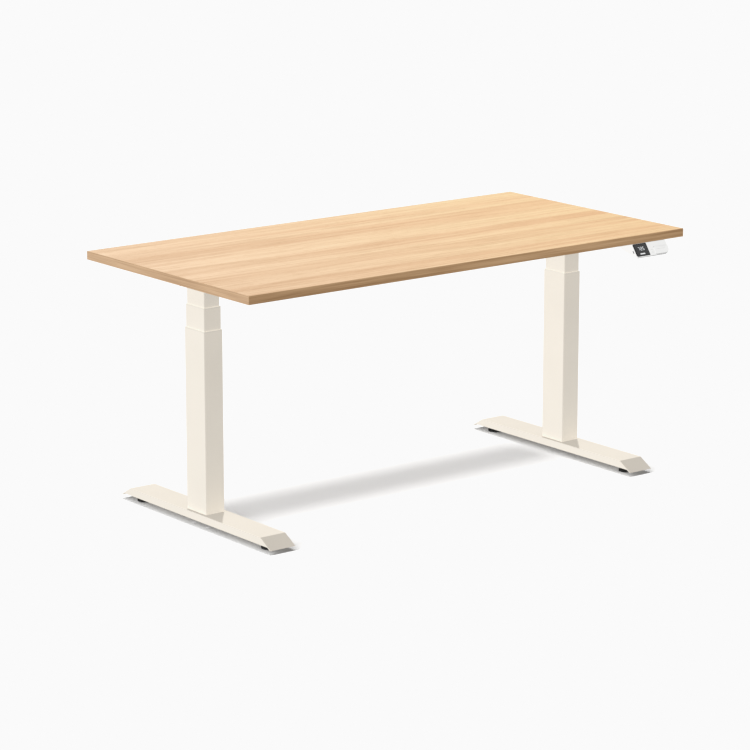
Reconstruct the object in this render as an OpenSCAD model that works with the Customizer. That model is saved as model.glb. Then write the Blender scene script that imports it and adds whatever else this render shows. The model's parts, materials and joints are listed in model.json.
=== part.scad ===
// Height adjustable standing desk: a wooden top on a two-motor frame with three-stage columns.
// +X runs along the desk, the user stands at -Y, +Z is up and the floor is at z = 0.
// The origin is the middle of the whole outline, handset included.

/* [Desktop] */
// Length of the desktop, left to right
top_length = 1500; // [1400:10:1800]
// Depth of the desktop, front to back
top_depth = 750; // [720:10:800]
// Thickness of the desktop board
top_thickness = 23; // [20:1:30]
// Height of the desktop's upper surface above the floor, as drawn
top_height = 702; // [640:1:1200]
// Thickness of the edge banding
band_thickness = 1; // [0.5:0.5:2]

/* [Columns] */
// Distance of each column's centre from the middle of the desk
leg_x = 630; // [600:5:680]
// Width of the outer tube, along the desk
outer_width = 60; // [60:1:66]
// Depth of the outer tube, front to back
outer_depth = 90; // [90:1:100]
// Wall of each tube
tube_wall = 1.5; // [1.5:0.1:1.6]
// Clear gap between one tube and the next, all round
tube_gap = 1; // [1:0.1:1.2]
// Radius of the tubes' outer corners
tube_corner = 3; // [2:0.5:4]
// Travel of each of the two moving stages
stage_stroke = 325; // [300:5:325]
// Desktop height with the columns fully retracted
lowest_height = 620; // [610:1:630]

/* [Feet] */
// Width of a foot
foot_width = 80; // [76:1:90]
// Length of a foot from tip to tip
foot_length = 700; // [660:10:740]
// Length of the foot's flat top
foot_flat = 610; // [580:10:640]
// Height of the foot's top above the floor
foot_height = 38.4; // [38:0.2:42]
// Height of the nose's lower lip above the floor
nose_height = 12; // [11:0.5:14]
// Height of the side walls' lower edge above the floor
wall_height = 18; // [17:0.5:20]
// Thickness of the foot's folded sheet
foot_sheet = 2.5; // [2:0.25:3]
// Distance of each levelling glide from the column's centre
glide_y = 290; // [270:5:295]
// Radius of a glide's pad
glide_radius = 22.5; // [20:0.5:24]

/* [Handset] */
// Length of the handset, along the desk's front edge
handset_length = 122; // [118:1:130]
// Distance of the handset's left end from the middle of the desk
handset_x = 558; // [480:1:560]
// How far the handset's face reaches out in front of the desktop
handset_reach = 24; // [22:1:28]
// Drop of the handset's face from its top edge to its bottom edge
handset_drop = 33; // [31:1:34]
// Length of the display glass
glass_length = 48; // [46:1:50]

/* [Hidden] */
$fn = 48;

LEFT = -1;
RIGHT = 1;
FRONT = -1;
REAR = 1;
cream = "#efe7da";
oak = "#dcb27a";
band_oak = "#b8946a";
steel = "#a9abae";
zinc = "#c4c6c8";
dark = "#26272a";
plastic_white = "#f4f4f2";
plastic_cream = "#e9e1d3";
brass = "#c7a355";

// Running clearance of a shaft in its bore, on the radius
fit = 0.05;
// Gap left where two faces turn or slide past each other
gap = 0.3;

// The desktop's middle lies behind the origin, because the handset stands out in front
desk_y = handset_reach / 2;
under_z = top_height - top_thickness;
stage_lift = (top_height - lowest_height) / 2;
stage_left = stage_stroke - stage_lift;

// Tube sizes, stage by stage
shrink = 2 * (tube_wall + tube_gap);
middle_width = outer_width - shrink;
middle_depth = outer_depth - shrink;
inner_width = middle_width - shrink;
inner_depth = middle_depth - shrink;

// Heights of the column's parts
lip_height = 3;
skirt_length = 40;
skirt_wall = tube_gap - gap;
outer_top = 535;
base_plate_thickness = 6;
base_plate_top = foot_height + base_plate_thickness;
cap_plate = 6;
middle_low = base_plate_top + 14.6 + stage_lift;
middle_top = outer_top + lip_height + 18.7 + stage_lift;
inner_low = middle_low + cap_plate + 3 + stage_lift;
housing_height = 28;
cover_height = 3;
bracket_plate = 3;
bracket_low = under_z - bracket_plate;
housing_top = bracket_low - cover_height;
housing_low = housing_top - housing_height;

// Drive inside each column: nested tubes and screws on one axis
upper_screw_radius = 9;
lower_screw_radius = 13;
lower_screw_bore = upper_screw_radius + gap;
base_tube_radius = 17.5;
base_tube_bore = 14;
middle_tube_bore = 19;
middle_tube_radius = 22;
push_length = 470;
thrust_ring = 6;
thrust_ring_drop = 22;
upper_nut_low = middle_low + push_length;
upper_nut_height = 22;
lower_nut_height = 30;
base_push_top = base_plate_top + 14.6 + push_length - thrust_ring_drop - 17;
upper_screw_low = upper_nut_low - stage_left - 36;
lower_screw_low = base_push_top - lower_nut_height - stage_left - 16;
head_height = 14;

// Gearing at the top of each column
wheel_radius = 18;
wheel_height = 9;
wheel_teeth = 30;
wheel_low = housing_low + 7;
wheel_seat_radius = 6;
worm_radius = 6;
worm_y = wheel_radius + gap + worm_radius;
worm_z = wheel_low + wheel_height / 2;
worm_shaft_radius = 4;
motor_radius = 19;
motor_length = 104;
housing_wall = 4;
housing_out = 27;
housing_in = 53;
housing_front = 36;
housing_rear = 40;

// Frame under the desktop
bracket_width = 80;
bracket_length = 580;
bracket_deep = 22;
bracket_shallow = 6;
bracket_flange = 2;
rail_y = 62;
rail_height = 32;
rail_wall = 2;
rail_flange = 14;
rail_low = bracket_low - rail_height;
rail_half = 585;
arm_thickness = 3;
arm_length = 224;
arm_start = leg_x + 34;
clamp_x = [480, 560];
clamp_hole = 3.1;
screw_shank = 2.4;
screw_hole = 2.5;
screw_depth = 16;
bracket_screw_y = [-250, -130, 130, 250];

// Levelling glides and foot bolts
stud_radius = 3.95;
stud_bore = stud_radius + fit;
weld_nut_height = 8;
weld_nut_radius = 7.5;
pad_rim = 5;
pad_height = 10;
pad_neck_radius = 11;
bolt_x = 19;
bolt_y = 32;
bolt_radius = 3.9;
bolt_hole = 4;
bolt_head_radius = 6.5;
bolt_head = 5;

// Handset, in the frame of its sloping face: x along it, y up the slope, z out of it
face_tilt = atan2(handset_drop, handset_reach - 0.5);
face_slope = sqrt(pow(handset_drop, 2) + pow(handset_reach - 0.5, 2));
face_thickness = 2.5;
face_corner = 2.5;
end_radius = 16;
glass_short = 2;
shell_wall = 2;
paddle_margin = 1.5;
paddle_left = 68;
paddle_right = handset_length - paddle_margin;
paddle_top = -15.5;
paddle_bottom = -face_slope + paddle_margin;
paddle_corner = 5;
paddle_rise = 2.4;
paddle_gap = 0.6;
pivot_y = (paddle_top + paddle_bottom) / 2;
button_x = 61;
button_y = -27;
button_radius = 4.3;
button_rise = 0.8;
button_length = 5;
front_y = -top_depth / 2;
port_y = front_y - 4.5;
port_z = under_z - 22;
port_length = 9;
port_height = 3.4;
port_depth = 8;
port_rim = 0.5;
shell_back = front_y + 57;
ear_length = 22;
ear_width = 18;
ear_x = [16, 104];

// Control box under the rear half of the desktop
box_length = 260;
box_depth = 84;
box_height = 34;
box_y = 118;
box_wall = 2;
box_low = under_z - box_height - 4;
box_ear = 14;
inlet_width = 24;
inlet_height = 17;
inlet_depth = 14;

function foot_slope() = (foot_length - foot_flat) / 2 / (foot_height - nose_height);
function foot_outside(z) = foot_flat / 2 + foot_slope() * (foot_height - z);
function foot_inset(depth, z) = foot_outside(z) - depth * sqrt(1 + pow(foot_slope(), 2));

module desk() {
    translate([0, desk_y, 0]) children();
}

// Draws for the left leg, with +x inboard, or its mirror image for the right leg
module leg(side) {
    desk() translate([side * leg_x, 0, 0])
        if (side == LEFT) children();
        else mirror([1, 0, 0]) children();
}

module profile_along_x(length) {
    rotate([90, 0, 90]) linear_extrude(length, center = true) children();
}

module face_frame() {
    translate([handset_x, front_y - 0.5, under_z - 0.5]) rotate([face_tilt, 0, 0]) children();
}

module on_face() {
    desk() face_frame() children();
}

module rounded_rect(width, depth, radius) {
    square([width - 2 * radius, depth], center = true);
    square([width, depth - 2 * radius], center = true);
    for (sx = [-1, 1], sy = [-1, 1])
        translate([sx * (width / 2 - radius), sy * (depth / 2 - radius)]) circle(radius);
}

module rect_tube(width, depth, radius, wall, low, high) {
    translate([0, 0, low]) linear_extrude(high - low) difference() {
        rounded_rect(width, depth, radius);
        rounded_rect(width - 2 * wall, depth - 2 * wall, max(radius - wall, 0.5));
    }
}

module round_tube(radius, bore, low, high) {
    translate([0, 0, low]) difference() {
        cylinder(r = radius, h = high - low);
        translate([0, 0, -1]) cylinder(r = bore, h = high - low + 2);
    }
}

// ---------------------------------------------------------------- desktop

module screw_places() {
    for (side = [LEFT, RIGHT], y = bracket_screw_y)
        translate([side * leg_x, y, bracket_low]) children();
}

module box_ear_places() {
    for (sx = [-1, 1], sy = [-1, 1])
        translate([sx * (box_length / 2 + box_ear / 2), box_y + sy * box_depth / 3,
                   under_z - box_wall]) children();
}

module handset_ear_places() {
    for (x = ear_x)
        translate([handset_x + x, shell_back + ear_length / 2, under_z - bracket_plate]) children();
}

module desktop_board() {
    color(oak) desk() difference() {
        translate([-top_length / 2 + band_thickness, -top_depth / 2 + band_thickness, under_z])
            cube([top_length - 2 * band_thickness, top_depth - 2 * band_thickness, top_thickness]);
        screw_places() cylinder(r = screw_hole, h = screw_depth);
        box_ear_places() cylinder(r = screw_hole, h = screw_depth);
        handset_ear_places() cylinder(r = screw_hole, h = screw_depth);
    }
}

module edge_bands() {
    color(band_oak) desk() {
        for (y = [-top_depth / 2, top_depth / 2 - band_thickness])
            translate([-top_length / 2, y, under_z])
                cube([top_length, band_thickness, top_thickness]);
        for (x = [-top_length / 2, top_length / 2 - band_thickness])
            translate([x, -top_depth / 2 + band_thickness + fit, under_z])
                cube([band_thickness, top_depth - 2 * (band_thickness + fit), top_thickness]);
    }
}

// ---------------------------------------------------------------- frame under the desktop

module wood_screw(depth) {
    translate([0, 0, -2]) cylinder(r1 = 5, r2 = 3.4, h = 2);
    cylinder(r = screw_shank, h = depth - 1);
}

module desktop_screws() {
    color(zinc) desk() {
        screw_places() wood_screw(screw_depth);
        box_ear_places() wood_screw(screw_depth);
        handset_ear_places() wood_screw(screw_depth);
    }
}

// Downturned edge of a side bracket: deep at the column and shallow at both ends
module bracket_edge(from_y, to_y) {
    function depth_at(y) = bracket_shallow + (bracket_deep - bracket_shallow)
        * min(1, (bracket_length / 2 - abs(y)) / (bracket_length / 2 - rail_y - 10));
    profile_along_x(bracket_flange) polygon([
        [from_y, bracket_low + 0.5], [to_y, bracket_low + 0.5],
        [to_y, bracket_low - depth_at(to_y)], [from_y, bracket_low - depth_at(from_y)]
    ]);
}

module side_bracket(side) {
    edge_x = (bracket_width - bracket_flange) / 2;
    turn_y = rail_y + 10;
    color(cream) leg(side) difference() {
        union() {
            translate([-bracket_width / 2, -bracket_length / 2, bracket_low])
                cube([bracket_width, bracket_length, bracket_plate]);
            for (s = [FRONT, REAR]) {
                inner_y = s * turn_y;
                outer_y = s * bracket_length / 2;
                for (x = [-edge_x, edge_x])
                    translate([x, 0, 0]) bracket_edge(min(inner_y, outer_y), max(inner_y, outer_y));
            }
            translate([-edge_x, 0, 0]) bracket_edge(-turn_y, turn_y);
        }
        for (y = bracket_screw_y)
            translate([0, y, bracket_low - 1]) cylinder(r = screw_hole, h = bracket_plate + 2);
    }
}

module left_side_bracket() { color(cream) side_bracket(LEFT); }
module right_side_bracket() { color(cream) side_bracket(RIGHT); }

// A C-shaped rail whose open side faces the middle of the frame
module rail(side) {
    color(cream) desk() difference() {
        profile_along_x(2 * rail_half) polygon([
            [side * rail_y, rail_low], [side * rail_y, rail_low + rail_height - gap],
            [side * (rail_y - rail_flange), rail_low + rail_height - gap],
            [side * (rail_y - rail_flange), rail_low + rail_height - gap - rail_wall],
            [side * (rail_y - rail_wall), rail_low + rail_height - gap - rail_wall],
            [side * (rail_y - rail_wall), rail_low + rail_wall],
            [side * (rail_y - rail_flange), rail_low + rail_wall],
            [side * (rail_y - rail_flange), rail_low]
        ]);
        clamp_places(side) cylinder(r = clamp_hole, h = 2 * rail_y, center = true);
    }
}

module clamp_places(side) {
    for (x = clamp_x, end = [LEFT, RIGHT])
        translate([end * x, side * rail_y, rail_low + rail_height / 2])
            rotate([90 * side, 0, 0]) children();
}

module crossbeam_front_rail() { color(cream) rail(FRONT); }
module crossbeam_rear_rail() { color(cream) rail(REAR); }

// Flat arms that slide into the rails' ends, with a tab under the side bracket
module beam_end_arms() {
    arm_low = rail_low + rail_wall;
    arm_top = bracket_low - gap - rail_wall;
    tab_length = arm_start - rail_half - 1;
    color(steel) desk() for (end = [LEFT, RIGHT], side = [FRONT, REAR]) {
        difference() {
            union() {
                arm_block(end, side, arm_start, arm_length, arm_low, arm_top, arm_thickness);
                arm_block(end, side, arm_start, tab_length, arm_top, bracket_low, arm_thickness);
            }
            clamp_places(side) cylinder(r = clamp_hole, h = 2 * rail_y, center = true);
        }
    }
}

module arm_block(end, side, start, length, low, high, thickness) {
    outer_y = rail_y - rail_wall;
    x0 = end == LEFT ? -start : start - length;
    y0 = side == FRONT ? -outer_y : outer_y - thickness;
    translate([x0, y0, low]) cube([length, thickness, high - low]);
}

module beam_clamp_screws() {
    color(zinc) desk() for (side = [FRONT, REAR]) clamp_places(side) {
        translate([0, 0, -3]) cylinder(r1 = 3.2, r2 = 5.5, h = 3);
        cylinder(r = clamp_hole - 0.1, h = rail_wall + arm_thickness + 3);
    }
}

// ---------------------------------------------------------------- gearbox and motor

module gearbox_housing(side) {
    length = housing_out + housing_in;
    depth = housing_front + housing_rear;
    color(steel) leg(side) difference() {
        translate([-housing_out, -housing_front, housing_low])
            cube([length, depth, housing_height]);
        translate([-housing_out + housing_wall, -housing_front + housing_wall,
                   housing_low + housing_wall])
            cube([length - 2 * housing_wall, depth - 2 * housing_wall, housing_height]);
        translate([0, 0, housing_low - 1])
            cylinder(r = upper_screw_radius + fit, h = housing_wall + 2);
        translate([-housing_out + housing_wall / 2, worm_y, worm_z])
            rotate([0, 90, 0]) cylinder(r = worm_shaft_radius + fit, h = length);
    }
}

module left_gearbox_housing() { color(steel) gearbox_housing(LEFT); }
module right_gearbox_housing() { color(steel) gearbox_housing(RIGHT); }

module gearbox_covers() {
    color(steel) for (side = [LEFT, RIGHT]) leg(side)
        translate([-housing_out, -housing_front, housing_top])
            cube([housing_out + housing_in, housing_front + housing_rear, cover_height]);
}

module motor(side) {
    color(dark) leg(side) translate([housing_in, worm_y, worm_z]) rotate([0, 90, 0])
        difference() {
            union() {
                cylinder(r = motor_radius, h = 6);
                translate([0, 0, 6]) cylinder(r = motor_radius - 1, h = motor_length - 16);
                translate([0, 0, motor_length - 10]) cylinder(r = motor_radius - 3, h = 10);
            }
            translate([0, 0, -1]) cylinder(r = worm_shaft_radius + fit, h = 41);
        }
}

module left_motor() { color(dark) motor(LEFT); }
module right_motor() { color(dark) motor(RIGHT); }

module worm_shaft(side) {
    start = -housing_out + housing_wall / 2 + gap;
    worm_length = 30;
    color(zinc) leg(side) translate([0, worm_y, worm_z]) rotate([0, 90, 0]) {
        translate([0, 0, start])
            cylinder(r = worm_shaft_radius, h = housing_in - start + 38);
        translate([0, 0, -worm_length / 2]) for (i = [0 : 4])
            translate([0, 0, i * worm_length / 5])
                cylinder(r1 = worm_shaft_radius + 0.8, r2 = worm_radius, h = worm_length / 10);
        translate([0, 0, -worm_length / 2]) for (i = [0 : 4])
            translate([0, 0, (i + 0.5) * worm_length / 5])
                cylinder(r1 = worm_radius, r2 = worm_shaft_radius + 0.8, h = worm_length / 10);
    }
}

module left_worm_shaft() { color(zinc) worm_shaft(LEFT); }
module right_worm_shaft() { color(zinc) worm_shaft(RIGHT); }

module worm_wheel(side) {
    root = wheel_radius - 2;
    step = 360 / wheel_teeth;
    outline = [for (i = [0 : wheel_teeth - 1], k = [0 : 3])
        let (a = (i + [0, 0.3, 0.5, 0.8][k]) * step, r = k < 2 ? root : wheel_radius)
        [r * cos(a), r * sin(a)]];
    color(brass) leg(side) translate([0, 0, wheel_low]) difference() {
        linear_extrude(wheel_height) polygon(outline);
        translate([0, 0, -1]) cylinder(r = wheel_seat_radius, h = wheel_height + 2);
    }
}

module left_worm_wheel() { color(brass) worm_wheel(LEFT); }
module right_worm_wheel() { color(brass) worm_wheel(RIGHT); }

// ---------------------------------------------------------------- columns

module upper_spindle(side) {
    shoulder = housing_low + housing_wall + gap;
    color(steel) leg(side) {
        translate([0, 0, upper_screw_low])
            cylinder(r = upper_screw_radius, h = shoulder - upper_screw_low);
        translate([0, 0, shoulder]) cylinder(r = 12, h = wheel_low - shoulder);
        translate([0, 0, wheel_low])
            cylinder(r = wheel_seat_radius, h = housing_top - 1 - wheel_low);
    }
}

module left_upper_spindle() { color(steel) upper_spindle(LEFT); }
module right_upper_spindle() { color(steel) upper_spindle(RIGHT); }

// Hollow screw that hangs from the middle stage's thrust ring
module lower_spindle(side) {
    head_top = upper_nut_low - gap;
    color(steel) leg(side) difference() {
        union() {
            translate([0, 0, lower_screw_low])
                cylinder(r = lower_screw_radius, h = head_top - lower_screw_low);
            translate([0, 0, head_top - head_height])
                cylinder(r = middle_tube_bore - fit, h = head_height);
        }
        translate([0, 0, lower_screw_low - 1])
            cylinder(r = lower_screw_bore, h = head_top - lower_screw_low + 2);
    }
}

module left_lower_spindle() { color(steel) lower_spindle(LEFT); }
module right_lower_spindle() { color(steel) lower_spindle(RIGHT); }

module middle_push_tube(side) {
    ring_low = upper_nut_low - thrust_ring_drop;
    color(zinc) leg(side) {
        round_tube(middle_tube_radius, middle_tube_bore, middle_low + cap_plate, upper_nut_low);
        round_tube(middle_tube_bore + 1, lower_screw_radius + fit, ring_low,
                   ring_low + thrust_ring);
    }
}

module left_middle_push_tube() { color(zinc) middle_push_tube(LEFT); }
module right_middle_push_tube() { color(zinc) middle_push_tube(RIGHT); }

module upper_nut(side) {
    color(dark) leg(side)
        round_tube(middle_tube_radius, upper_screw_radius + fit, upper_nut_low,
                   upper_nut_low + upper_nut_height);
}

module left_upper_nut() { color(dark) upper_nut(LEFT); }
module right_upper_nut() { color(dark) upper_nut(RIGHT); }

module base_push_tubes() {
    color(zinc) for (side = [LEFT, RIGHT]) leg(side)
        round_tube(base_tube_radius, base_tube_bore, base_plate_top,
                   base_push_top - lower_nut_height);
}

module lower_nuts() {
    color(dark) for (side = [LEFT, RIGHT]) leg(side)
        round_tube(base_tube_radius, lower_screw_radius + fit,
                   base_push_top - lower_nut_height, base_push_top);
}

module inner_tube(side) {
    color(cream) leg(side)
        rect_tube(inner_width, inner_depth, tube_corner, tube_wall, inner_low, housing_low);
}

module left_inner_tube() { color(cream) inner_tube(LEFT); }
module right_inner_tube() { color(cream) inner_tube(RIGHT); }

module middle_tube(side) {
    color(cream) leg(side)
        rect_tube(middle_width, middle_depth, tube_corner, tube_wall,
                  middle_low + cap_plate, middle_top);
}

module left_middle_tube() { color(cream) middle_tube(LEFT); }
module right_middle_tube() { color(cream) middle_tube(RIGHT); }

module outer_tube(side) {
    color(cream) leg(side)
        rect_tube(outer_width, outer_depth, tube_corner, tube_wall, foot_height, outer_top);
}

module left_outer_tube() { color(cream) outer_tube(LEFT); }
module right_outer_tube() { color(cream) outer_tube(RIGHT); }

// Plastic sleeve on the lower end of a moving tube, which guides it in the tube around it
module guide_sleeve(width, depth, low) {
    rect_tube(width + 2 * skirt_wall, depth + 2 * skirt_wall, tube_corner + skirt_wall,
              skirt_wall, low, low + skirt_length);
}

module inner_guide_shoes() {
    color(dark) for (side = [LEFT, RIGHT]) leg(side)
        guide_sleeve(inner_width, inner_depth, inner_low);
}

module middle_end_cap(side) {
    color(dark) leg(side) {
        difference() {
            translate([0, 0, middle_low]) linear_extrude(cap_plate)
                rounded_rect(middle_width + 2 * skirt_wall, middle_depth + 2 * skirt_wall,
                             tube_corner + skirt_wall);
            translate([0, 0, middle_low - 1]) cylinder(r = middle_tube_bore, h = cap_plate + 2);
        }
        guide_sleeve(middle_width, middle_depth, middle_low + cap_plate);
    }
}

module left_middle_end_cap() { color(dark) middle_end_cap(LEFT); }
module right_middle_end_cap() { color(dark) middle_end_cap(RIGHT); }

// Plastic collar: a visible rim on a tube's top edge and a thin skirt inside the tube
module collar(width, depth, top) {
    bore_width = width - 2 * (tube_wall + skirt_wall);
    bore_depth = depth - 2 * (tube_wall + skirt_wall);
    bore_corner = tube_corner - tube_wall;
    translate([0, 0, top]) linear_extrude(lip_height) difference() {
        rounded_rect(width, depth, tube_corner);
        rounded_rect(bore_width, bore_depth, bore_corner);
    }
    translate([0, 0, top - skirt_length]) linear_extrude(skirt_length) difference() {
        rounded_rect(width - 2 * tube_wall, depth - 2 * tube_wall, bore_corner);
        rounded_rect(bore_width, bore_depth, bore_corner);
    }
}

module outer_collars() {
    color(plastic_cream) for (side = [LEFT, RIGHT]) leg(side)
        collar(outer_width, outer_depth, outer_top);
}

module left_middle_collar() {
    color(plastic_cream) leg(LEFT) collar(middle_width, middle_depth, middle_top);
}

module right_middle_collar() {
    color(plastic_cream) leg(RIGHT) collar(middle_width, middle_depth, middle_top);
}

// ---------------------------------------------------------------- feet

module base_plates() {
    color(steel) for (side = [LEFT, RIGHT]) leg(side) difference() {
        translate([0, 0, foot_height]) linear_extrude(base_plate_thickness)
            rounded_rect(outer_width - 2 * tube_wall, outer_depth - 2 * tube_wall,
                         tube_corner - tube_wall);
        bolt_places() cylinder(r = bolt_hole, h = 50);
    }
}

module bolt_places() {
    for (sx = [-1, 1], sy = [-1, 1])
        translate([sx * bolt_x, sy * bolt_y, foot_height - foot_sheet - 1]) children();
}

module foot_bolts() {
    color(zinc) for (side = [LEFT, RIGHT]) leg(side) bolt_places() {
        translate([0, 0, 1 - bolt_head]) cylinder(r = bolt_head_radius, h = bolt_head);
        cylinder(r = bolt_radius, h = 1 + foot_sheet + base_plate_thickness + 2);
    }
}

// The top and both sloping noses, bent from one strip of sheet
module foot_strip() {
    inner_high = foot_height - foot_sheet;
    profile_along_x(foot_width) polygon([
        [-foot_length / 2, nose_height], [-foot_flat / 2, foot_height],
        [foot_flat / 2, foot_height], [foot_length / 2, nose_height],
        [foot_inset(foot_sheet, nose_height), nose_height],
        [foot_inset(foot_sheet, inner_high), inner_high],
        [-foot_inset(foot_sheet, inner_high), inner_high],
        [-foot_inset(foot_sheet, nose_height), nose_height]
    ]);
}

// A side wall's edges lie half way into the strip that it is folded from
module foot_side_walls() {
    half_sheet = foot_sheet / 2;
    high = foot_height - half_sheet;
    for (sx = [-1, 1]) translate([sx * (foot_width / 2 - half_sheet), 0, 0])
        profile_along_x(foot_sheet) polygon([
            [-foot_inset(half_sheet, high), high], [foot_inset(half_sheet, high), high],
            [foot_inset(half_sheet, wall_height), wall_height],
            [-foot_inset(half_sheet, wall_height), wall_height]
        ]);
}

module foot_beam(side) {
    weld_nut_low = foot_height - foot_sheet - weld_nut_height;
    color(cream) leg(side) difference() {
        union() {
            foot_strip();
            foot_side_walls();
            for (s = [FRONT, REAR]) translate([0, s * glide_y, weld_nut_low])
                cylinder(r = weld_nut_radius, h = weld_nut_height + foot_sheet / 2, $fn = 6);
        }
        for (s = [FRONT, REAR]) translate([0, s * glide_y, weld_nut_low - 1])
            cylinder(r = stud_bore, h = weld_nut_height + 2);
        bolt_places() cylinder(r = bolt_hole, h = foot_sheet + 2);
    }
}

module left_foot_beam() { color(cream) foot_beam(LEFT); }
module right_foot_beam() { color(cream) foot_beam(RIGHT); }

module glide_pad(side, end) {
    color(dark) leg(side) translate([0, end * glide_y, 0]) difference() {
        union() {
            cylinder(r1 = glide_radius - 1, r2 = glide_radius, h = 1);
            translate([0, 0, 1]) cylinder(r = glide_radius, h = pad_rim - 1);
            translate([0, 0, pad_rim])
                cylinder(r1 = glide_radius, r2 = pad_neck_radius, h = pad_height - pad_rim);
        }
        translate([0, 0, 3]) cylinder(r = stud_bore, h = pad_height);
    }
}

module left_front_glide_pad() { color(dark) glide_pad(LEFT, FRONT); }
module left_rear_glide_pad() { color(dark) glide_pad(LEFT, REAR); }
module right_front_glide_pad() { color(dark) glide_pad(RIGHT, FRONT); }
module right_rear_glide_pad() { color(dark) glide_pad(RIGHT, REAR); }

module glide_stud(side, end) {
    color(zinc) leg(side) translate([0, end * glide_y, 0]) {
        translate([0, 0, 3 + gap])
            cylinder(r = stud_radius, h = foot_height - foot_sheet - 4 - gap);
        translate([0, 0, pad_height + gap]) cylinder(r = 7.5, h = 5, $fn = 6);
    }
}

module left_front_glide_stud() { color(zinc) glide_stud(LEFT, FRONT); }
module left_rear_glide_stud() { color(zinc) glide_stud(LEFT, REAR); }
module right_front_glide_stud() { color(zinc) glide_stud(RIGHT, FRONT); }
module right_rear_glide_stud() { color(zinc) glide_stud(RIGHT, REAR); }

// ---------------------------------------------------------------- control box

module control_box_shell() {
    color(dark) desk() difference() {
        union() {
            difference() {
                translate([-box_length / 2, box_y - box_depth / 2, box_low])
                    cube([box_length, box_depth, box_height]);
                translate([-box_length / 2 + box_wall, box_y - box_depth / 2 + box_wall,
                           box_low + box_wall])
                    cube([box_length - 2 * box_wall, box_depth - 2 * box_wall, box_height]);
            }
            translate([box_length / 2 - inlet_depth - box_wall, box_y - inlet_width / 2 - box_wall,
                       box_low + box_wall])
                cube([inlet_depth + box_wall, inlet_width + 2 * box_wall,
                      inlet_height + 3 * box_wall]);
        }
        translate([box_length / 2 - inlet_depth, box_y - inlet_width / 2, box_low + 3 * box_wall])
            cube([inlet_depth + 1, inlet_width, inlet_height]);
    }
}

module control_box_cover() {
    color(dark) desk() difference() {
        union() {
            translate([-box_length / 2, box_y - box_depth / 2, box_low + box_height])
                cube([box_length, box_depth, under_z - box_low - box_height]);
            for (sx = [-1, 1], sy = [-1, 1])
                translate([sx * (box_length + box_ear) / 2, box_y + sy * box_depth / 3,
                           under_z - box_wall / 2])
                    cube([box_ear, box_ear, box_wall], center = true);
        }
        box_ear_places() translate([0, 0, -1]) cylinder(r = screw_hole, h = box_wall + 2);
    }
}

// ---------------------------------------------------------------- handset

// A point in the handset's side view: a distance down its face and out from it
function face_point(down, out) = [
    front_y - 0.5 - down * cos(face_tilt) - out * sin(face_tilt),
    under_z - 0.5 - down * sin(face_tilt) + out * cos(face_tilt)
];

// Side view of the handset behind its face, inset all round by a wall
module handset_profile(inset) {
    behind = -face_thickness - inset;
    nose = face_point(face_slope, -face_thickness);
    polygon([
        [front_y + 4 + inset, under_z - inset],
        face_point(inset / 2, behind),
        face_point(face_slope - inset / 2, behind),
        [nose[0] + 1.6 + inset, nose[1] - 1.8 + inset],
        [nose[0] + 5 + inset, nose[1] - 2.6 + inset],
        [shell_back - 12 - inset / 2, under_z - 20 + inset],
        [shell_back - inset, under_z - 14 + inset],
        [shell_back - inset, under_z - inset]
    ]);
}

// What lies beyond the handset's widely rounded lower right corner, inset by a margin
module beyond_corner(inset) {
    translate([handset_length - end_radius, end_radius - face_slope]) difference() {
        translate([0, -end_radius - 1]) square(end_radius + 1);
        circle(end_radius - inset);
    }
}

module face_outline() {
    difference() {
        translate([handset_length / 2, -face_slope / 2])
            rounded_rect(handset_length, face_slope, face_corner);
        beyond_corner(0);
    }
}

module glass_outline() {
    intersection() {
        translate([glass_length / 2, (glass_short - face_slope) / 2])
            rounded_rect(glass_length, face_slope - glass_short, face_corner - 0.5);
        face_outline();
    }
}

module handset_housing() {
    middle_x = handset_x + handset_length / 2;
    deep = 60;
    color(plastic_white) difference() {
        desk() difference() {
            union() {
                translate([middle_x, 0, 0]) profile_along_x(handset_length) handset_profile(0);
                for (x = ear_x)
                    translate([handset_x + x - ear_width / 2, shell_back - 1,
                               under_z - bracket_plate])
                        cube([ear_width, ear_length, bracket_plate]);
            }
            difference() {
                translate([middle_x, 0, 0])
                    profile_along_x(handset_length - 2 * shell_wall) handset_profile(shell_wall);
                face_frame() translate([0, 0, -deep])
                    linear_extrude(2 * deep) beyond_corner(shell_wall);
            }
            handset_ear_places()
                translate([0, 0, -1]) cylinder(r = screw_hole, h = bracket_plate + 2);
            translate([handset_x - 1, port_y, port_z]) rotate([face_tilt, 0, 0])
                port_slot(port_depth, 0);
        }
        on_face() {
            paddle_block(paddle_gap, -9, 5);
            translate([2 * shell_wall, -face_slope + 4, -8])
                cube([glass_length - 4 * shell_wall, face_slope - 8, 9]);
            translate([button_x, button_y, -9]) cylinder(r = button_radius + gap, h = 12);
            translate([0, 0, -deep]) linear_extrude(2 * deep) beyond_corner(0);
        }
    }
}

module port_slot(depth, grow) {
    long = port_length + 2 * grow;
    high = port_height + 2 * grow;
    rotate([0, 90, 0]) linear_extrude(depth) rounded_rect(high, long, high / 2 - 0.01);
}

module usb_port() {
    color(dark) desk() translate([handset_x, port_y, port_z]) rotate([face_tilt, 0, 0])
        difference() {
            port_slot(port_depth - 1, 0);
            translate([-1, 0, 0]) port_slot(port_depth - 1, -port_rim);
        }
}

// Rounded block that the paddle is cut from, and its clearance opening
module paddle_block(grow, low, high) {
    width = paddle_right - paddle_left + 2 * grow;
    depth = paddle_top - paddle_bottom + 2 * grow;
    translate([0, 0, low]) linear_extrude(high - low) difference() {
        translate([(paddle_left + paddle_right) / 2, pivot_y])
            rounded_rect(width, depth, paddle_corner + grow);
        beyond_corner(paddle_margin - grow);
    }
}

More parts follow.
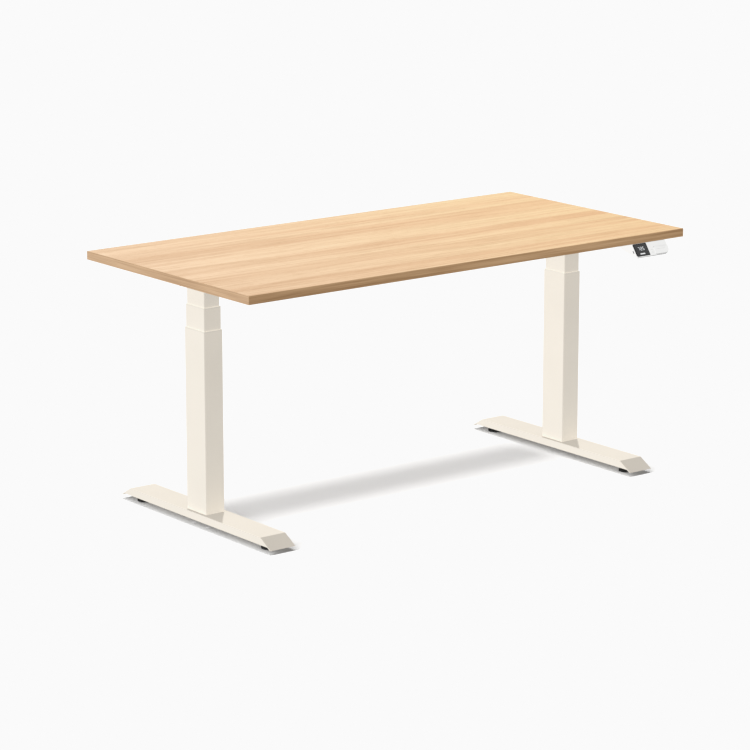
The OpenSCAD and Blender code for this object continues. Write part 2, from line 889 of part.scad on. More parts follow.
module handset_face() {
    color(plastic_white) on_face() difference() {
        translate([0, 0, -face_thickness]) linear_extrude(face_thickness) difference() {
            face_outline();
            glass_outline();
            translate([-1, glass_short - face_slope + 2 * face_corner])
                square([glass_length - face_corner, face_slope]);
        }
        paddle_block(paddle_gap, -face_thickness - 1, 1);
        translate([button_x, button_y, -face_thickness - 1])
            cylinder(r = button_radius + gap, h = face_thickness + 2);
    }
}

module display_glass() {
    color(dark) on_face() translate([0, 0, -face_thickness])
        linear_extrude(face_thickness + 0.3) glass_outline();
}

module height_paddle() {
    groove_left = paddle_left + 4;
    groove_length = 36;
    color(plastic_white) on_face() difference() {
        paddle_block(0, -6, paddle_rise);
        translate([groove_left, pivot_y - 3, paddle_rise - 0.8])
            cube([groove_length, 6, 2]);
    }
}

module preset_button() {
    color(plastic_white) on_face() translate([button_x, button_y, button_rise - button_length])
        difference() {
            cylinder(r = button_radius, h = button_length);
            translate([0, 0, button_length - 0.5]) difference() {
                cylinder(r = button_radius - 0.9, h = 1);
                translate([0, 0, -1]) cylinder(r = button_radius - 1.8, h = 3);
            }
        }
}

desktop_board();
edge_bands();
left_side_bracket();
right_side_bracket();
crossbeam_front_rail();
crossbeam_rear_rail();
beam_end_arms();
beam_clamp_screws();
desktop_screws();
left_gearbox_housing();
right_gearbox_housing();
gearbox_covers();
left_motor();
right_motor();
left_worm_shaft();
right_worm_shaft();
left_worm_wheel();
right_worm_wheel();
left_upper_spindle();
right_upper_spindle();
left_inner_tube();
right_inner_tube();
inner_guide_shoes();
control_box_shell();
control_box_cover();
handset_housing();
handset_face();
display_glass();
usb_port();
height_paddle();
preset_button();
left_middle_tube();
right_middle_tube();
left_middle_collar();
right_middle_collar();
left_middle_end_cap();
right_middle_end_cap();
left_middle_push_tube();
right_middle_push_tube();
left_upper_nut();
right_upper_nut();
left_lower_spindle();
right_lower_spindle();
left_foot_beam();
right_foot_beam();
left_outer_tube();
right_outer_tube();
outer_collars();
base_plates();
foot_bolts();
base_push_tubes();
lower_nuts();
left_front_glide_pad();
left_rear_glide_pad();
right_front_glide_pad();
right_rear_glide_pad();
left_front_glide_stud();
left_rear_glide_stud();
right_front_glide_stud();
right_rear_glide_stud();
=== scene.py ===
"""Height adjustable standing desk: materials, small visual pieces, floor, light and camera."""
import json
import math

import bmesh
import bpy
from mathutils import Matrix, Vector

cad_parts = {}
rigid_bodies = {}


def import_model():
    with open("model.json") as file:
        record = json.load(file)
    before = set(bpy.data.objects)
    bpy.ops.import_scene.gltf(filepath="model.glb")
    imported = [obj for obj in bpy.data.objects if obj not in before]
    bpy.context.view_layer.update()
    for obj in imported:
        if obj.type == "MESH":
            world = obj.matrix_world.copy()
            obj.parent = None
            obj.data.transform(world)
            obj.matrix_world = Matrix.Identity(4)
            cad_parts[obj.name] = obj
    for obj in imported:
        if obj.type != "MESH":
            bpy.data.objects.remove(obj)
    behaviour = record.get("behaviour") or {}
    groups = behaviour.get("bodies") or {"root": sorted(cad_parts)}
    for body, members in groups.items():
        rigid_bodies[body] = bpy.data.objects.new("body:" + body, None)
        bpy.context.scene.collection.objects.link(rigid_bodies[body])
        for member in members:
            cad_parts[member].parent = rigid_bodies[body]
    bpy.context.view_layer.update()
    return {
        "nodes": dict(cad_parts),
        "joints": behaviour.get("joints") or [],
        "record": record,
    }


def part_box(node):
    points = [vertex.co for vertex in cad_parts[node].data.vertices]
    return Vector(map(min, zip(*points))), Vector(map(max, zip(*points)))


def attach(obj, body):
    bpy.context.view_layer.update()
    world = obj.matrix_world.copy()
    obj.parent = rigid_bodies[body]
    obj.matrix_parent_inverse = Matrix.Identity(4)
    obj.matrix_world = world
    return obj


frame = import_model()
NODES = frame["nodes"]

# ------------------------------------------------------------------ places taken from the frame

BAND_LOW, BAND_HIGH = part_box("edge_bands")
TOP_CENTRE = Vector(((BAND_LOW.x + BAND_HIGH.x) / 2, (BAND_LOW.y + BAND_HIGH.y) / 2, BAND_HIGH.z))
TOP_SIZE = BAND_HIGH - BAND_LOW


# ------------------------------------------------------------------ node helpers

def srgb(red, green, blue):
    """A display colour, 0 to 255, as the linear colour that shaders use."""
    def linear(value):
        value /= 255
        return value / 12.92 if value <= 0.04045 else ((value + 0.055) / 1.055) ** 2.4
    return (linear(red), linear(green), linear(blue), 1.0)


class Shader:
    """A material's node tree, with one short call for each kind of node."""

    def __init__(self, name, roughness=0.5, metallic=0.0, specular=0.5, coat=0.0):
        self.material = bpy.data.materials.new(name)
        self.material.use_nodes = True
        self.tree = self.material.node_tree
        self.tree.nodes.clear()
        self.surface = self.new("ShaderNodeBsdfPrincipled")
        self.set("Roughness", roughness)
        self.set("Metallic", metallic)
        self.set("Specular IOR Level", specular)
        self.set("Coat Weight", coat)
        output = self.new("ShaderNodeOutputMaterial")
        self.link(self.surface.outputs[0], output.inputs["Surface"])
        self.coordinates = self.new("ShaderNodeTexCoord").outputs["Object"]

    def new(self, kind):
        return self.tree.nodes.new(kind)

    def link(self, source, target):
        self.tree.links.new(source, target)

    def feed(self, socket, value):
        """Links another node's output to a socket, or sets the socket to a number or colour."""
        if isinstance(value, bpy.types.NodeSocket):
            self.link(value, socket)
        else:
            socket.default_value = value

    def set(self, name, value):
        """Feeds one of the surface's own sockets."""
        self.feed(self.surface.inputs[name], value)

    def stretch(self, scale, source=None, offset=(0, 0, 0)):
        """Coordinates scaled along each axis, so that a noise made on them is drawn out."""
        node = self.new("ShaderNodeMapping")
        node.inputs["Scale"].default_value = scale
        node.inputs["Location"].default_value = offset
        self.link(source or self.coordinates, node.inputs["Vector"])
        return node.outputs[0]

    def noise(self, vector, scale=1.0, detail=2.0, roughness=0.5, distortion=0.0):
        node = self.new("ShaderNodeTexNoise")
        node.inputs["Scale"].default_value = scale
        node.inputs["Detail"].default_value = detail
        node.inputs["Roughness"].default_value = roughness
        node.inputs["Distortion"].default_value = distortion
        self.link(vector, node.inputs["Vector"])
        return node.outputs["Fac"]

    def ramp(self, factor, stops):
        """A colour ramp. Each stop is a place and either a colour or a grey level."""
        node = self.new("ShaderNodeValToRGB")
        elements = node.color_ramp.elements
        while len(elements) < len(stops):
            elements.new(0.5)
        for element, (place, colour) in zip(elements, stops):
            element.position = place
            element.color = colour if isinstance(colour, tuple) else (colour, colour, colour, 1)
        self.link(factor, node.inputs["Fac"])
        return node.outputs["Color"]

    def mix(self, factor, first, second, blend="MIX"):
        node = self.new("ShaderNodeMix")
        node.data_type = "RGBA"
        node.blend_type = blend
        for socket, value in ((node.inputs["Factor"], factor), (node.inputs["A"], first),
                              (node.inputs["B"], second)):
            self.feed(socket, value)
        return node.outputs["Result"]

    def math(self, operation, first, second=0.0, third=0.0):
        node = self.new("ShaderNodeMath")
        node.operation = operation
        for socket, value in zip(node.inputs, (first, second, third)):
            self.feed(socket, value)
        return node.outputs[0]

    def span(self, factor, low, high):
        """Maps a 0 to 1 factor onto low to high."""
        return self.math("MULTIPLY_ADD", factor, high - low, low)

    def bump(self, height, strength, distance, under=None):
        node = self.new("ShaderNodeBump")
        node.inputs["Strength"].default_value = strength
        node.inputs["Distance"].default_value = distance
        self.link(height, node.inputs["Height"])
        if under is not None:
            self.link(under, node.inputs["Normal"])
        return node.outputs[0]


# ------------------------------------------------------------------ wood

# Light and dark bands across the desktop: distance from its middle in metres, then lightness
GRAIN_BANDS = [
    (-0.375, 0.45), (-0.335, 0.52), (-0.300, 0.20), (-0.268, 0.62), (-0.225, 0.80),
    (-0.190, 0.38), (-0.145, 0.30), (-0.110, 0.78), (-0.082, 0.72), (-0.050, 0.20),
    (-0.022, 0.22), (0.005, 0.72), (0.050, 0.86), (0.095, 0.66), (0.130, 0.36),
    (0.195, 0.40), (0.225, 0.82), (0.248, 0.68), (0.270, 0.46), (0.300, 0.66), (0.350, 0.88),
]


def wood_layers(shader, vector):
    """Straight oak grain along x: broad bands, streaks, fine lines and short pores."""
    def layer(along, across, shift, *settings):
        drawn_out = shader.stretch((along, across, across), vector, (shift, 0, 0))
        return shader.noise(drawn_out, 1.0, *settings)

    broad = layer(0.7, 11.0, 0, 3.0, 0.55, 0.25)
    streak = layer(1.1, 78.0, 3.1, 4.0, 0.62, 0.1)
    fine = layer(5.0, 260.0, 7.7, 3.0, 0.65)
    pore = layer(34.0, 900.0, 1.9, 1.0, 0.5)
    return broad, streak, fine, pore


GRAIN_SWAY = 0.022  # how far the bands wander to either side, in metres
BAND_THICKNESS = 0.0012


def oak_top():
    """Desktop surface: placed bands of tone, with made-up streaks, lines and pores over them."""
    shader = Shader("oak_laminate", roughness=0.42, specular=0.35)
    broad, streak, fine, pore = wood_layers(shader, shader.coordinates)
    place = shader.new("ShaderNodeSeparateXYZ")
    shader.link(shader.coordinates, place.inputs[0])
    across = shader.math("SUBTRACT", place.outputs["Y"], TOP_CENTRE.y)
    sway = shader.noise(shader.stretch((0.7, 3.0, 3.0), offset=(0.4, 0, 0)), 1.0, 2.0, 0.5)
    across = shader.math("ADD", across, shader.span(sway, -GRAIN_SWAY, GRAIN_SWAY))
    share = shader.math("MULTIPLY_ADD", across, 1 / TOP_SIZE.y, 0.5)
    bands = shader.ramp(share, [(y / TOP_SIZE.y + 0.5, tone) for y, tone in GRAIN_BANDS])
    grain = shader.math("MULTIPLY_ADD", broad, 0.28, shader.math("MULTIPLY", streak, 0.72))
    tone = shader.math("MULTIPLY_ADD", bands, 0.24, shader.math("MULTIPLY", grain, 0.76))
    rightward = shader.math("MULTIPLY_ADD", place.outputs["X"], 1 / TOP_SIZE.x, 0.5)
    pale = shader.mix(rightward, srgb(254, 223, 189), srgb(255, 224, 177))
    deep = shader.mix(rightward, srgb(235, 199, 163), srgb(243, 200, 155))
    colour = shader.mix(shader.ramp(tone, [(0.40, 0.0), (0.60, 1.0)]), deep, pale)
    lines = shader.ramp(fine, [(0.33, srgb(230, 222, 212)), (0.54, srgb(255, 255, 255))])
    colour = shader.mix(0.8, colour, lines, "MULTIPLY")
    ticks = shader.ramp(pore, [(0.30, srgb(212, 188, 160)), (0.40, srgb(255, 255, 255))])
    colour = shader.mix(0.5, colour, ticks, "MULTIPLY")
    # Painted shade: the top is made a little darker towards its front edge
    front_painted_shade = shader.ramp(share, [(0.0, srgb(250, 249, 247)), (0.9, srgb(255, 255, 255))])
    colour = shader.mix(1.0, colour, front_painted_shade, "MULTIPLY")
    shader.set("Base Color", colour)
    shader.set("Roughness", shader.span(fine, 0.38, 0.52))
    shader.set("Normal", shader.bump(pore, 0.25, 0.0002, shader.bump(fine, 0.2, 0.0003)))
    return shader.material


def oak_edge():
    """Edge banding. Its grain runs along each edge, so the ends of the desk swap x and y."""
    shader = Shader("oak_edge_band", roughness=0.45, specular=0.35)
    place = shader.new("ShaderNodeSeparateXYZ")
    shader.link(shader.coordinates, place.inputs[0])
    swapped = shader.new("ShaderNodeCombineXYZ")
    shader.link(place.outputs["Y"], swapped.inputs["X"])
    shader.link(place.outputs["X"], swapped.inputs["Y"])
    shader.link(place.outputs["Z"], swapped.inputs["Z"])
    at_end = shader.math("GREATER_THAN", shader.math("ABSOLUTE", place.outputs["X"]),
                         TOP_SIZE.x / 2 - BAND_THICKNESS)
    along = shader.mix(at_end, shader.coordinates, swapped.outputs[0])
    broad, streak, fine, pore = wood_layers(shader, along)
    tone = shader.math("ADD", shader.math("MULTIPLY", broad, 0.4),
                       shader.math("MULTIPLY", streak, 0.6))
    colour = shader.ramp(tone, [(0.34, srgb(181, 144, 105)), (0.50, srgb(201, 164, 123)),
                                (0.66, srgb(216, 181, 142))])
    lines = shader.ramp(fine, [(0.35, srgb(214, 204, 192)), (0.62, srgb(255, 255, 255))])
    colour = shader.mix(0.8, colour, lines, "MULTIPLY")
    shader.set("Base Color", colour)
    shader.set("Roughness", shader.span(fine, 0.4, 0.55))
    shader.set("Normal", shader.bump(fine, 0.25, 0.0003, shader.bump(pore, 0.2, 0.0002)))
    return shader.material


# ------------------------------------------------------------------ frame, metals and plastics

def powder_coat():
    """Cream powder coat with a fine orange peel."""
    shader = Shader("cream_powder_coat", roughness=0.5, specular=0.4)
    peel = shader.noise(shader.coordinates, 900.0, 2.0, 0.55)
    grit = shader.noise(shader.coordinates, 3200.0, 1.0, 0.5)
    cloud = shader.noise(shader.coordinates, 7.0, 2.0, 0.5)
    colour = shader.ramp(cloud, [(0.3, srgb(236, 229, 217)), (0.7, srgb(239, 232, 220))])
    speck = shader.ramp(grit, [(0.30, srgb(246, 244, 240)), (0.5, srgb(255, 255, 255))])
    shader.set("Base Color", shader.mix(0.5, colour, speck, "MULTIPLY"))
    shader.set("Roughness", shader.span(peel, 0.46, 0.6))
    shader.set("Normal", shader.bump(peel, 0.22, 0.0002, shader.bump(grit, 0.1, 0.00008)))
    return shader.material


def moulded(name, colour, roughness, grain=1400.0, depth=0.12):
    """Moulded plastic: an even colour with faint flow marks and a fine grained skin."""
    shader = Shader(name, roughness=roughness)
    skin = shader.noise(shader.coordinates, grain, 2.0, 0.6)
    flow = shader.noise(shader.coordinates, 22.0, 2.0, 0.5)
    darker = tuple(channel * 0.94 for channel in colour[:3]) + (1.0,)
    shader.set("Base Color", shader.mix(flow, darker, colour))
    shader.set("Roughness", shader.span(skin, roughness - 0.06, roughness + 0.08))
    shader.set("Normal", shader.bump(skin, depth, 0.0001))
    return shader.material


def metal(name, colour, roughness, brush=(40.0, 40.0, 900.0), depth=0.1):
    """Machined, drawn or plated metal, with tool marks across the stretched axis."""
    shader = Shader(name, roughness=roughness, metallic=1.0)
    marks = shader.noise(shader.stretch(brush), 1.0, 3.0, 0.6)
    stain = shader.noise(shader.coordinates, 30.0, 3.0, 0.6)
    darker = tuple(channel * 0.8 for channel in colour[:3]) + (1.0,)
    shader.set("Base Color", shader.mix(stain, darker, colour))
    shader.set("Roughness", shader.span(marks, roughness - 0.08, roughness + 0.14))
    shader.set("Normal", shader.bump(marks, depth, 0.0001))
    return shader.material


def rubber():
    shader = Shader("black_rubber", roughness=0.75, specular=0.3)
    skin = shader.noise(shader.coordinates, 1100.0, 3.0, 0.6)
    dust = shader.noise(shader.coordinates, 60.0, 3.0, 0.6)
    shader.set("Base Color", shader.ramp(dust, [(0.4, srgb(18, 18, 18)), (0.8, srgb(36, 35, 34))]))
    shader.set("Roughness", shader.span(skin, 0.66, 0.86))
    shader.set("Normal", shader.bump(skin, 0.3, 0.0002))
    return shader.material


def display_window():
    """Smoked gloss window with a faint film of fingerprints."""
    shader = Shader("display_window", roughness=0.16, specular=0.5, coat=0.6)
    smear = shader.noise(shader.coordinates, 160.0, 3.0, 0.6, 1.2)
    shader.set("Base Color", shader.ramp(smear, [(0.3, srgb(24, 25, 27)), (0.7, srgb(34, 35, 37))]))
    shader.set("Roughness", shader.span(smear, 0.12, 0.26))
    shader.set("Normal", shader.bump(smear, 0.04, 0.0002))
    return shader.material


def display_field():
    """Slightly paler film behind the window's printed border."""
    shader = Shader("display_field", roughness=0.22, specular=0.5)
    smear = shader.noise(shader.coordinates, 160.0, 3.0, 0.6, 1.2)
    mesh = shader.noise(shader.coordinates, 2600.0, 1.0, 0.5)
    shader.set("Base Color", shader.ramp(smear, [(0.3, srgb(60, 60, 61)), (0.7, srgb(70, 70, 71))]))
    shader.set("Roughness", shader.span(smear, 0.16, 0.32))
    shader.set("Normal", shader.bump(mesh, 0.05, 0.00005))
    return shader.material


def lit(name, colour, strength):
    """Lit or printed marks of the display, a little uneven as real ones are. On a printed mark the
    emission is a painted glow.
    """
    shader = Shader(name, roughness=0.4)
    uneven = shader.noise(shader.coordinates, 500.0, 1.0, 0.5)
    dimmer = tuple(channel * 0.7 for channel in colour[:3]) + (1.0,)
    shader.set("Base Color", shader.mix(uneven, dimmer, colour))
    shader.set("Emission Color", shader.mix(uneven, dimmer, colour))
    shader.set("Emission Strength", strength)
    shader.set("Roughness", shader.span(uneven, 0.3, 0.5))
    return shader.material


OAK_TOP = oak_top()
OAK_EDGE = oak_edge()
COAT = powder_coat()
COLLAR = moulded("cream_collar_plastic", srgb(235, 229, 217), 0.42)
ZINC = metal("zinc_plate", (0.62, 0.64, 0.66, 1), 0.36)
FASTENER = metal("plated_fastener", (0.55, 0.56, 0.58, 1), 0.32, (300.0, 300.0, 300.0))
CASTING = metal("cast_aluminium", (0.56, 0.57, 0.58, 1), 0.5, (500.0, 500.0, 500.0), 0.35)
MOTOR_PAINT = moulded("motor_black_paint", srgb(34, 34, 36), 0.35, 700.0, 0.08)
SCREW_STEEL = metal("ground_steel", (0.5, 0.51, 0.53, 1), 0.28, (60.0, 60.0, 1500.0))
BRONZE = metal("machined_bronze", (0.56, 0.38, 0.16, 1), 0.3)
NUT = moulded("nut_polymer", srgb(226, 221, 206), 0.4)
GUIDE = moulded("guide_polymer", srgb(44, 44, 46), 0.42)
BOX = moulded("control_box_plastic", srgb(32, 32, 34), 0.55, 900.0, 0.3)
HANDSET = moulded("handset_white_plastic", srgb(240, 240, 239), 0.4, 1600.0, 0.08)
WINDOW = display_window()
FIELD = display_field()
DIGIT = lit("display_digit", srgb(218, 221, 223), 0.45)
# Painted glow: the printed label bar is made to give off a little light, which print does not
LABEL_PAINTED_GLOW = lit("label_print_painted_glow", srgb(228, 229, 230), 0.3)
PORT = metal("port_shell", (0.2, 0.2, 0.21, 1), 0.4, (900.0, 40.0, 40.0))
RUBBER = rubber()

FINISHES = {
    "oak_top": OAK_TOP, "oak_edge": OAK_EDGE, "frame_cream": COAT, "collar_cream": COLLAR,
    "zinc_steel": ZINC, "fasteners": FASTENER, "cast_aluminium": CASTING,
    "motor_black": MOTOR_PAINT, "ground_steel": SCREW_STEEL, "bronze": BRONZE,
    "nut_polymer": NUT, "guide_polymer": GUIDE, "box_black": BOX, "handset_white": HANDSET,
    "display_black": WINDOW, "port_metal": PORT, "glide_black": RUBBER,
}


WELD_DISTANCE = 0.00001
SHARP_ANGLE = math.radians(35)  # edges that turn by more than this are rounded


def dress(node, slot):
    node.data.materials.clear()
    node.data.materials.append(FINISHES[slot])


def round_edges(name, width, segments=2):
    """Softens a CAD node's sharp edges for the render, with modifiers only."""
    node = NODES[name]
    weld = node.modifiers.new("weld", "WELD")
    weld.merge_threshold = WELD_DISTANCE
    bevel = node.modifiers.new("round", "BEVEL")
    bevel.width = width
    bevel.segments = segments
    bevel.limit_method = "ANGLE"
    bevel.angle_limit = SHARP_ANGLE
    bevel.harden_normals = True


for part in frame["record"]["subparts"]:
    dress(NODES[part["node"]], part["material_slot"])

for side in ("left", "right"):
    round_edges(side + "_foot_beam", 0.0011, 3)
for name, width in (("height_paddle", 0.0012), ("preset_button", 0.0003),
                    ("handset_face", 0.0004), ("display_glass", 0.0003),
                    ("handset_housing", 0.0008), ("control_box_shell", 0.0012)):
    round_edges(name, width)


# ------------------------------------------------------------------ display on the handset

PRESS = next(joint for joint in frame["joints"] if joint["name"] == "preset_press")
OUTWARD = -Vector(PRESS["axis"]).normalized()
ALONG = Vector((1, 0, 0))
UPWARD = OUTWARD.cross(ALONG)


def face_corner(node):
    """Upper left corner of a node's outer face, seen square to the handset's sloping face."""
    points = [vertex.co for vertex in NODES[node].data.vertices]
    left = min(point.dot(ALONG) for point in points)
    top = max(point.dot(UPWARD) for point in points)
    outer = max(point.dot(OUTWARD) for point in points)
    return ALONG * left + UPWARD * top + OUTWARD * outer


GLASS_CORNER = face_corner("display_glass")


def outline_piece(name, outlines, thickness, material, raise_by):
    """Thin plates on the window, from lists of (right, down) places measured from its corner."""
    shape = bmesh.new()
    for outline in outlines:
        ring = [shape.verts.new(GLASS_CORNER + ALONG * right - UPWARD * down
                                + OUTWARD * raise_by)
                for right, down in outline]
        face = shape.faces.new(ring)
        grown = bmesh.ops.extrude_face_region(shape, geom=[face])["geom"]
        moved = [item for item in grown if isinstance(item, bmesh.types.BMVert)]
        bmesh.ops.translate(shape, verts=moved, vec=OUTWARD * thickness)
    bmesh.ops.recalc_face_normals(shape, faces=shape.faces)
    mesh = bpy.data.meshes.new(name)
    shape.to_mesh(mesh)
    shape.free()
    mesh.materials.append(material)
    piece = bpy.data.objects.new(name, mesh)
    bpy.context.scene.collection.objects.link(piece)
    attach(piece, "top")
    return piece


CORNER_STEPS = 6


def rounded_outline(left, top, width, height, radius):
    near_left, near_right = left + radius, left + width - radius
    near_top, near_bottom = top + radius, top + height - radius
    corners = ((near_right, near_top, -90), (near_right, near_bottom, 0),
               (near_left, near_bottom, 90), (near_left, near_top, 180))
    return [(x + radius * math.cos(math.radians(start + 90 * k / CORNER_STEPS)),
             y + radius * math.sin(math.radians(start + 90 * k / CORNER_STEPS)))
            for x, y, start in corners for k in range(CORNER_STEPS + 1)]


# The bars that each digit lights: a top, b and c right, d bottom, e and f left, g middle
SEGMENTS = {"2": "abged", "5": "afgcd", "7": "abc"}
POINT_GAP = 0.12  # gap between the points of two bars, as a share of their stroke


def segment_outline(letter, left, top, width, height, stroke):
    """One bar of a seven-segment digit, with pointed ends."""
    half = stroke / 2
    inset = half + stroke * POINT_GAP
    if letter in "agd":
        y = top + {"a": half, "g": height / 2, "d": height - half}[letter]
        start, end = left + inset, left + width - inset
        return [(start, y), (start + half, y - half), (end - half, y - half),
                (end, y), (end - half, y + half), (start + half, y + half)]
    x = left + (half if letter in "fe" else width - half)
    start = top + inset if letter in "fb" else top + height / 2 + stroke * POINT_GAP
    end = start + height / 2 - half - stroke * 2 * POINT_GAP
    return [(x, start), (x + half, start + half), (x + half, end - half),
            (x, end), (x - half, end - half), (x - half, start + half)]


DISPLAY_BORDER = 0.0026
FIELD_CORNER = 0.0012
FIELD_LIFT = 0.00002
FILM = 0.00008  # thickness of each plate, and how far the marks are raised
DIGIT_WIDTH, DIGIT_HEIGHT, STROKE = 0.0062, 0.0105, 0.0014
DIGIT_LEFT, DIGIT_TOP, DIGIT_PITCH = 0.0120, 0.0105, 0.0081
LABEL_BAR = (0.0132, 0.0295, 0.0180, 0.0034, 0.0010)  # left, top, width, height, corner


def display():
    """The paler field, three lit digits with a decimal point, and a plain printed bar with a
    painted glow.
    """
    glass_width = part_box("display_glass")[1].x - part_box("display_glass")[0].x
    rows = [vertex.co.dot(UPWARD) for vertex in NODES["display_glass"].data.vertices]
    glass_height = max(rows) - min(rows)
    field = outline_piece("display_field", [
        rounded_outline(DISPLAY_BORDER, DISPLAY_BORDER, glass_width - 2 * DISPLAY_BORDER,
                        glass_height - 2 * DISPLAY_BORDER, FIELD_CORNER)],
        FILM, FIELD, FIELD_LIFT)
    bars = [segment_outline(letter, DIGIT_LEFT + place * DIGIT_PITCH, DIGIT_TOP, DIGIT_WIDTH,
                            DIGIT_HEIGHT, STROKE)
            for place, digit in enumerate("725") for letter in SEGMENTS[digit]]
    dot_left = DIGIT_LEFT + 2 * DIGIT_PITCH - (DIGIT_PITCH - DIGIT_WIDTH) / 2 - STROKE / 2
    bars.append(rounded_outline(dot_left, DIGIT_TOP + DIGIT_HEIGHT - STROKE, STROKE, STROKE,
                                STROKE * 0.3))
    digits = outline_piece("display_digits", bars, FILM, DIGIT, FILM)
    label = outline_piece("display_label_bar", [rounded_outline(*LABEL_BAR)], FILM, LABEL_PAINTED_GLOW, FILM)
    return [field, digits, label]


DISPLAY = display()


# ------------------------------------------------------------------ floor, light and camera

FLOOR_ALBEDO = 0.8
FLOOR_GRAIN = 0.005  # how far the floor's tone varies to either side
FLOOR_REACH = 60.0


def studio_plane(name, centre, half_x, half_y):
    """A flat stage object that neither lights the desk nor shows in its reflections."""
    mesh = bpy.data.meshes.new(name)
    mesh.from_pydata([(-half_x, -half_y, 0), (half_x, -half_y, 0), (half_x, half_y, 0),
                      (-half_x, half_y, 0)], [], [(0, 1, 2, 3)])
    plane = bpy.data.objects.new(name, mesh)
    plane.location = centre
    bpy.context.scene.collection.objects.link(plane)
    shader = Shader("studio_" + name, roughness=0.9, specular=0.0)
    grain = shader.noise(shader.coordinates, 40.0, 2.0, 0.5)
    shader.set("Base Color", shader.ramp(grain, [(0.0, FLOOR_ALBEDO - FLOOR_GRAIN),
                                                 (1.0, FLOOR_ALBEDO + FLOOR_GRAIN)]))
    mesh.materials.append(shader.material)
    plane.visible_diffuse = False
    plane.visible_glossy = False
    return plane


FLOOR = studio_plane("floor", (0, 0, 0), FLOOR_REACH, FLOOR_REACH)

# Flags shade one light each, and the camera does not see them. This one makes the soft band of
# shade under the desk
FLAG = studio_plane("flag", (0.0075, TOP_CENTRE.y + 0.044, 0.385), 0.5825, 0.096)

# The light from behind and above. The rear flags keep it off the feet's rear noses and off the
# desktop's rear edge
TOP_KEY = Vector((0.0, 0.684, 0.57))
NOSE_LENGTH = 0.045
FOOT_FLAG_HEIGHT, EDGE_FLAG_HEIGHT = 0.12, 0.75
REAR_FLAG_REACH = 0.8


def rear_flag(name, upper, lower, height):
    """A flag 'height' metres up that shades what lies between two (y, z) edges along x."""
    slope = TOP_KEY.y / TOP_KEY.z
    near, far = (y + (height - z) * slope for y, z in (upper, lower))
    return studio_plane(name, (0, (near + far) / 2, height), REAR_FLAG_REACH, (far - near) / 2)


FOOT_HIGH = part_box("left_foot_beam")[1]
REAR_FLAGS = [rear_flag("foot_flag", (FOOT_HIGH.y - NOSE_LENGTH, FOOT_HIGH.z),
                        (FOOT_HIGH.y, 0), FOOT_FLAG_HEIGHT),
              rear_flag("edge_flag", (BAND_HIGH.y, BAND_HIGH.z),
                        (BAND_HIGH.y, BAND_LOW.z), EDGE_FLAG_HEIGHT)]
for flag in [FLAG] + REAR_FLAGS:
    flag.visible_camera = False


def collection_of(name, objects):
    group = bpy.data.collections.new(name)
    for thing in objects:
        group.objects.link(thing)
    return group


def nodes_where(test):
    return [node for name, node in NODES.items() if test(name)]


def is_tube(name):
    return name.endswith("_tube")


# Each object is in just one of the next four groups, so each light reaches a known set of objects
FLOOR_ONLY = collection_of("floor_only", [FLOOR])
HANDSET_NAMES = ("handset_housing", "handset_face", "display_glass", "usb_port", "height_paddle",
                 "preset_button")
HANDSET_ONLY = collection_of("handset_only", [NODES[name] for name in HANDSET_NAMES] + DISPLAY)
TUBES_ONLY = collection_of("tubes_only", nodes_where(is_tube))
BODY_ONLY = collection_of("body_only", nodes_where(
    lambda name: name not in HANDSET_NAMES and not is_tube(name)))
# These groups say what casts a light's shadows
FEET = collection_of("feet", nodes_where(
    lambda name: "foot_beam" in name or "glide_pad" in name))
COLUMNS = collection_of("columns", [NODES["left_outer_tube"], NODES["right_outer_tube"]])
FEET_AND_FLAG = collection_of("feet_and_flag", list(FEET.objects) + [FLAG])
BEHIND = collection_of("behind", REAR_FLAGS)


def sun(name, toward, receivers, softness=0.0, shadows=True, blockers=None, bounces=4,
        glare=True):
    """Even light from the direction 'toward', as strong as it is long on a face square to it."""
    toward = Vector(toward)
    data = bpy.data.lights.new(name, "SUN")
    data.energy = toward.length * math.pi
    data.angle = math.radians(softness)
    data.use_shadow = shadows
    data.cycles.max_bounces = bounces
    lamp = bpy.data.objects.new(name, data)
    lamp.rotation_euler = toward.to_track_quat("Z", "Y").to_euler()
    lamp.visible_glossy = glare
    bpy.context.scene.collection.objects.link(lamp)
    lamp.light_linking.receiver_collection = receivers
    if blockers is not None:
        lamp.light_linking.blocker_collection = blockers


def world(ambient, backdrop):
    """Even surroundings that light the desk a little and that the camera sees as the backdrop."""
    made = bpy.data.worlds.new("studio")
    made.use_nodes = True
    tree = made.node_tree
    tree.nodes.clear()
    output = tree.nodes.new("ShaderNodeOutputWorld")
    background = tree.nodes.new("ShaderNodeBackground")
    background.inputs["Color"].default_value = (1, 1, 1, 1)
    seen = tree.nodes.new("ShaderNodeLightPath").outputs["Is Camera Ray"]
    strength = tree.nodes.new("ShaderNodeMath")
    strength.operation = "MULTIPLY_ADD"
    strength.inputs[1].default_value = backdrop - ambient
    strength.inputs[2].default_value = ambient
    tree.links.new(seen, strength.inputs[0])
    tree.links.new(strength.outputs[0], background.inputs["Strength"])
    tree.links.new(background.outputs[0], output.inputs["Surface"])
    bpy.context.scene.world = made


# Lights that shine level on every group of the desk, without shadows
LEVEL_LIGHTS = (("side_key", (-0.69, 0.45, 0.0)),
                ("front_fill", (-0.145, -0.565, 0.0)),
                ("right_fill", (0.25, 0.0, 0.0)))
RIM = (0.370, 0.472, 0.40)
# Light on the floor, as shares of white. The low suns come from the left, each with its elevation
FLOOR_EVEN, FLOOR_OVERHEAD = 0.08, 0.42
LOW_SUNS = ((18, 0.045), (27, 0.065), (36, 0.090), (48, 0.120), (63, 0.130))
RIM_SOFTNESS, LOW_SOFTNESS, OVERHEAD_SOFTNESS = 3.0, 12.0, 20.0  # degrees


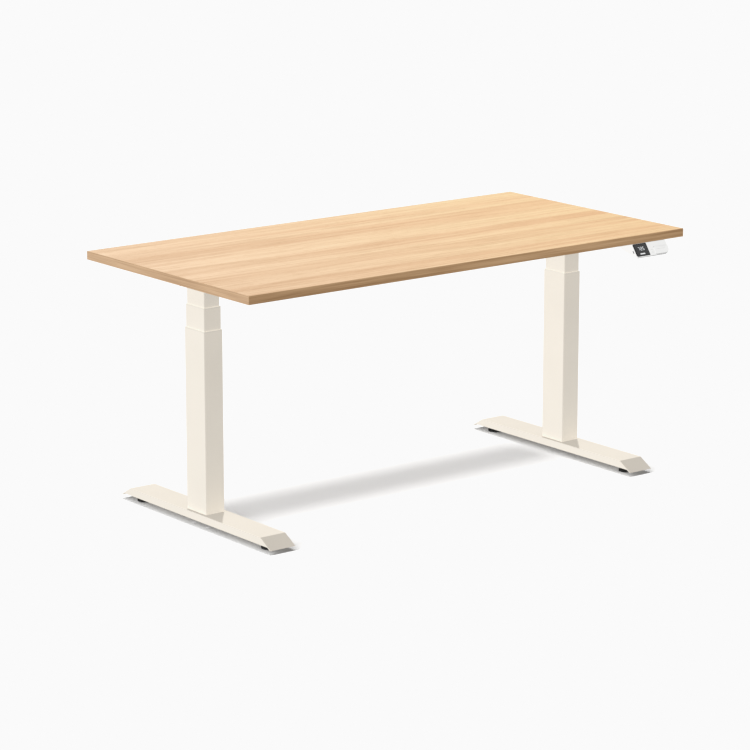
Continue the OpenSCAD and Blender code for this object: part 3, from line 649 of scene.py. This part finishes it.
def lights():
    world(0.2, 1.0)
    for receivers in (BODY_ONLY, TUBES_ONLY, HANDSET_ONLY):
        for name, toward in LEVEL_LIGHTS:
            sun(name, toward, receivers, shadows=False, bounces=0)
    sun("top_key", TOP_KEY, BODY_ONLY, blockers=BEHIND, bounces=1, glare=False)
    sun("rim", RIM, BODY_ONLY, RIM_SOFTNESS, blockers=COLUMNS, bounces=1, glare=False)
    sun("floor_bounce", (0.0, 0.0, -0.25), BODY_ONLY, shadows=False, bounces=0)
    sun("handset_fill", (0.0, -0.29, 0.26), HANDSET_ONLY, shadows=False, bounces=0)

    sun("floor_even", (0, 0, FLOOR_EVEN / FLOOR_ALBEDO), FLOOR_ONLY, shadows=False)
    for elevation, share in LOW_SUNS:
        angle = math.radians(elevation)
        level = share / FLOOR_ALBEDO / math.sin(angle)
        sun(f"floor_low_{elevation}", (-level * math.cos(angle), 0, level * math.sin(angle)),
            FLOOR_ONLY, LOW_SOFTNESS, blockers=FEET)
    sun("overhead", (0, 0, FLOOR_OVERHEAD / FLOOR_ALBEDO), FLOOR_ONLY, OVERHEAD_SOFTNESS,
        blockers=FEET_AND_FLAG)


# The camera as fitted to the photo's straight edges, placed from the middle of the desktop
SENSOR_WIDTH, LENS = 36.0, 149.85
CAMERA_OFFSET = Vector((-5.2288, -6.6440, 1.6288))
CAMERA_AZIMUTH, CAMERA_ELEVATION = math.radians(-37.91), math.radians(13.39)
VIEW_DEPTH = 200.0


def camera():
    data = bpy.data.cameras.new("camera")
    data.sensor_width = SENSOR_WIDTH
    data.lens = LENS
    back = Vector((math.sin(CAMERA_AZIMUTH) * math.cos(CAMERA_ELEVATION),
                   -math.cos(CAMERA_AZIMUTH) * math.cos(CAMERA_ELEVATION),
                   math.sin(CAMERA_ELEVATION)))
    eye = bpy.data.objects.new("camera", data)
    eye.location = TOP_CENTRE + CAMERA_OFFSET
    eye.rotation_euler = back.to_track_quat("Z", "Y").to_euler()
    data.clip_end = VIEW_DEPTH
    bpy.context.scene.collection.objects.link(eye)
    bpy.context.scene.camera = eye


lights()
camera()


BACKDROP_LEVEL = 0.956


def hold_white():
    """Plain display colours, with everything brighter held at the backdrop's level."""
    view = bpy.context.scene.view_settings
    view.view_transform = "Standard"
    view.use_curve_mapping = True
    curve = view.curve_mapping.curves[3]
    curve.points[1].location = (BACKDROP_LEVEL, BACKDROP_LEVEL)
    curve.points.new(1.0, BACKDROP_LEVEL)
    for point in curve.points:
        point.handle_type = "VECTOR"
    view.curve_mapping.update()


hold_white()
